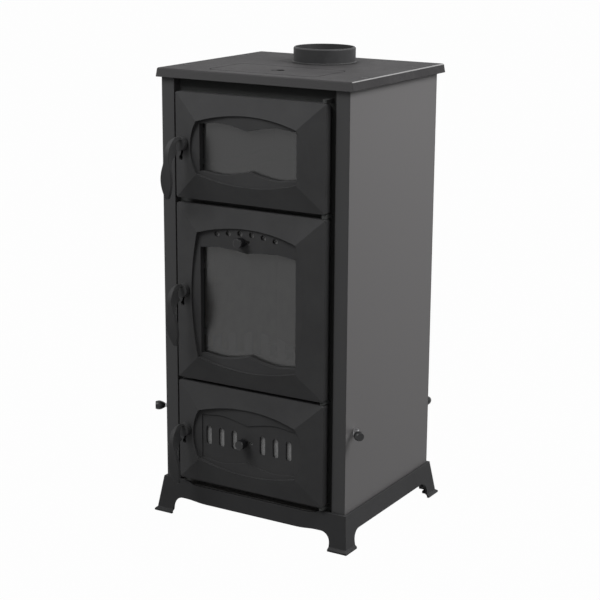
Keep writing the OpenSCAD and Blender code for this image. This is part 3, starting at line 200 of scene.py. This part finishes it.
def front_plate_paint_and_light():
    n = Nodes("front_plate_paint_and_light")
    # Painted light: the recessed front plate is given a lighter colour than the other castings,
    # to lift it out of the shade behind the doors
    n.plain((0.080, 0.081, 0.081), 0.7, specular=0.05)
    n.base(n.ramp(n.noise(14), (0.074, 0.076, 0.075), (0.084, 0.086, 0.085)))
    n.bump(n.noise(900, 3), 0.00025, 0.5)
    return n.material


def top_cast(name, painted_wall_shade):
    n = Nodes(name)
    n.plain((0.052, 0.051, 0.052), 0.67, specular=0.06)
    grain = n.ramp(n.noise(90, 5), (0.040, 0.039, 0.040), (0.067, 0.065, 0.066))
    patches = n.mix(n.span(n.noise(9, 3), -0.7, 1.5), (0.035, 0.034, 0.035), grain)
    # Painted light: the front skirt gets less light than the top, so its front-facing faces are
    # given a lighter colour
    tone = n.mix(n.facing(towards_front, 0.6, 0.9), patches, (0.075, 0.074, 0.075))
    # Painted highlight: the chamfer along the right edge, turned towards the right lamp, is
    # given a bright colour
    lit = n.mix(n.facing(towards_right_and_up, 0.96, 0.995), tone, painted_edge_highlight)
    # Painted shade: narrow gaps and creases are darkened towards near-black
    shaded = n.mix(n.crevice(0.012, 1.3), painted_crevice_shade, lit)
    # Painted shade: faces that do not face up, such as the walls in the seam, are darkened
    if painted_wall_shade is not None:
        shaded = n.mix(n.facing(upwards, 0.3, 0.8), painted_wall_shade, shaded)
    n.base(shaded)
    n.bump(n.noise(260, 5), 0.0006, 0.8, edge=0.0014)
    return n.material


def panel_paint():
    n = Nodes("panel_paint")
    n.plain(panel_grey, 0.5, specular=0.2)
    # Painted shade: the folded posts facing the front are given the dark cast tone, as they get
    # less light than the sides
    front = n.facing(towards_front, 0.55, 0.8)
    n.base(n.mix(front, panel_grey, cast_light))
    n.bump(n.noise(1200, 2), 0.00008, 0.4, edge=0.0025)
    return n.material


def mill_steel():
    n = Nodes("mill_steel")
    n.plain((0.10, 0.10, 0.10), 0.6, metallic=0.6)
    n.base(n.ramp(n.noise(18), (0.07, 0.068, 0.067), (0.13, 0.127, 0.124)))
    n.link(n.span(n.noise(60), 0.52, 0.68), n.shader.inputs["Roughness"])
    return n.material


def slide_steel():
    n = Nodes("slide_steel")
    n.plain((0.18, 0.18, 0.18), 0.6, metallic=0.2, specular=0.3)
    n.base(n.ramp(n.noise(420, 5), (0.12, 0.12, 0.12), (0.36, 0.36, 0.36)))
    return n.material


def zinc():
    n = Nodes("zinc")
    n.plain((0.55, 0.55, 0.56), 0.38, metallic=1.0)
    n.base(n.ramp(n.noise(220, 5), (0.32, 0.32, 0.33), (0.62, 0.62, 0.63)))
    n.bump(n.noise(500, 4), 0.0002, 0.5)
    return n.material


def black_oxide():
    n = Nodes("black_oxide")
    n.plain((0.028, 0.028, 0.029), 0.5, specular=0.05)
    n.link(n.span(n.noise(120), 0.38, 0.52), n.shader.inputs["Roughness"])
    return n.material


def knob_resin():
    n = Nodes("knob_resin")
    n.plain((0.010, 0.010, 0.011), 0.32, specular=0.35)
    n.link(n.span(n.noise(80), 0.28, 0.36), n.shader.inputs["Roughness"])
    return n.material


def window_pane(name, grey, shine, opaque_share):
    n = Nodes(name)
    n.plain((grey, grey, grey), 0.06, specular=shine)
    n.shader.inputs["Alpha"].default_value = opaque_share
    n.link(n.span(n.noise(6), 0.20, 0.26), n.shader.inputs["Roughness"])
    return n.material


def fired_clay():
    n = Nodes("fired_clay")
    n.plain((0.55, 0.45, 0.33), 0.9)
    n.base(n.ramp(n.noise(30, 6), (0.42, 0.33, 0.24), (0.62, 0.52, 0.40)))
    n.bump(n.noise(300, 5), 0.0008, 0.8)
    return n.material


def woven_rope():
    n = Nodes("woven_rope")
    n.plain((0.05, 0.05, 0.05), 0.95)
    n.base(n.ramp(n.noise(600, 3), (0.025, 0.025, 0.025), (0.10, 0.10, 0.10)))
    n.bump(n.noise(600, 3), 0.0008, 1.0)
    return n.material


def bare_iron():
    n = Nodes("bare_iron")
    n.plain((0.09, 0.087, 0.085), 0.7)
    n.base(n.ramp(n.noise(60, 5), (0.06, 0.058, 0.056), (0.13, 0.125, 0.12)))
    n.bump(n.noise(320, 4), 0.0005, 0.7, edge=0.0008)
    return n.material


def guard_iron():
    n = Nodes("guard_iron")
    # Painted light: the guard is given a much lighter colour than the bare iron, so its bars
    # read behind the glass out of the shade
    n.plain((0.30, 0.29, 0.285), 0.6)
    n.base(n.ramp(n.noise(60, 5), (0.26, 0.25, 0.245), (0.36, 0.35, 0.345)))
    n.bump(n.noise(320, 4), 0.0004, 0.5)
    return n.material


def collar_paint():
    n = Nodes("collar_paint")
    n.plain((0.030, 0.030, 0.031), 0.55, specular=0.2)
    tone = n.ramp(n.noise(40), (0.026, 0.026, 0.027), (0.034, 0.034, 0.035))
    n.base(n.worn(tone, (0.14, 0.14, 0.14), 0.0010, 0.8))
    n.bump(n.noise(700, 3), 0.0003, 0.5, edge=0.0012)
    return n.material


slide_finish = slide_steel()
own_finishes = {
    "hinge_pins": black_oxide(),
    # The lid's walls are painted near-black, painted shade so the seam round the cooking plate
    # is seen as a dark line
    "cooking_lid": top_cast("lid_cast", lid_seam_painted_shade),
    "flue_collar": collar_paint(),
    "front_frame": front_plate_paint_and_light(),
    "base_frame": base_paint(),
    "fire_air_slide": slide_finish,
    "ash_air_slide": slide_finish,
    "log_guard": guard_iron(),
    "oven_glass": window_pane("oven_pane", 0.030, 0.80, 0.85),
    "fire_glass": window_pane("fire_pane", 0.045, 1.0, 0.6),
}
finishes = {
    "cast_iron_plate": cast_paint(),
    "top_iron": top_cast("top_cast", None),
    "sheet_panel": panel_paint(),
    "inner_steel": mill_steel(),
    "zinc_steel": zinc(),
    "black_steel": black_oxide(),
    "knob_black": knob_resin(),
    "fire_clay": fired_clay(),
    "seal_rope": woven_rope(),
    "grate_iron": bare_iron(),
}


def dress_nodes():
    """Give each CAD node its own finish, or else the one that its record slot names."""
    for row in frame["record"]["subparts"]:
        finish = own_finishes.get(row["node"]) or finishes[row["material_slot"]]
        for place in frame["nodes"][row["node"]].material_slots:
            place.material = finish


# Floor, lamps and background
def sees_background(tree):
    """A factor of 1 for camera, glossy and transmission rays."""
    path = tree.nodes.new("ShaderNodeLightPath")
    total = path.outputs["Is Camera Ray"]
    for name in ("Is Glossy Ray", "Is Transmission Ray"):
        either = tree.nodes.new("ShaderNodeMath")
        either.operation = "MAXIMUM"
        tree.links.new(total, either.inputs[0])
        tree.links.new(path.outputs[name], either.inputs[1])
        total = either.outputs[0]
    return total


def make_floor():
    bpy.ops.mesh.primitive_plane_add(size=80, location=(0, 0, 0))
    floor = bpy.context.object
    floor.name = "studio_floor"
    material = bpy.data.materials.new("floor_pale")
    material.use_nodes = True
    tree = material.node_tree
    shader = tree.nodes["Principled BSDF"]
    shader.inputs["Base Color"].default_value = (0.05, 0.05, 0.05, 1)
    shader.inputs["Roughness"].default_value = 0.9
    shader.inputs["Specular IOR Level"].default_value = 0.0
    white = tree.nodes.new("ShaderNodeEmission")
    white.inputs["Color"].default_value = (1, 1, 1, 1)
    white.inputs["Strength"].default_value = 1.0
    share = tree.nodes.new("ShaderNodeMath")
    share.operation = "MULTIPLY"
    share.inputs[1].default_value = 0.985
    mix = tree.nodes.new("ShaderNodeMixShader")
    tree.links.new(sees_background(tree), share.inputs[0])
    tree.links.new(share.outputs[0], mix.inputs["Fac"])
    tree.links.new(shader.outputs[0], mix.inputs[1])
    tree.links.new(white.outputs[0], mix.inputs[2])
    tree.links.new(mix.outputs[0], tree.nodes["Material Output"].inputs["Surface"])
    floor.data.materials.append(material)


def make_world():
    world = bpy.data.worlds.new("studio")
    bpy.context.scene.world = world
    world.use_nodes = True
    tree = world.node_tree
    soft = tree.nodes["Background"]
    soft.inputs["Strength"].default_value = 0.25
    soft.inputs["Color"].default_value = (1, 1, 1, 1)
    white = tree.nodes.new("ShaderNodeBackground")
    white.inputs["Color"].default_value = (1, 1, 1, 1)
    white.inputs["Strength"].default_value = 1.0
    mix = tree.nodes.new("ShaderNodeMixShader")
    tree.links.new(sees_background(tree), mix.inputs["Fac"])
    tree.links.new(soft.outputs[0], mix.inputs[1])
    tree.links.new(white.outputs[0], mix.inputs[2])
    tree.links.new(mix.outputs[0], tree.nodes["World Output"].inputs["Surface"])


def area_lamp(name, place, aim, size, power):
    data = bpy.data.lights.new(name, "AREA")
    data.shape = "RECTANGLE"
    data.size = size[0]
    data.size_y = size[1]
    data.energy = power
    lamp = bpy.data.objects.new(name, data)
    lamp.location = place
    lamp.rotation_euler = (Vector(aim) - Vector(place)).to_track_quat("-Z", "Y").to_euler()
    bpy.context.scene.collection.objects.link(lamp)


def make_lights():
    area_lamp("front_soft", (-0.9, -1.7, 2.5), (0, -0.2, 0.6), (1.6, 1.2), 42)
    area_lamp("right_soft", (1.7, 0.3, 2.1), (0.2, 0.05, 0.65), (1.2, 1.2), 54)
    area_lamp("top_soft", (0.3, 0.6, 2.8), (0, 0, 0.87), (2.0, 2.0), 10)


make_camera()
dress_nodes()
make_floor()
make_world()
make_lights()
bpy.context.scene.view_settings.view_transform = "Standard"
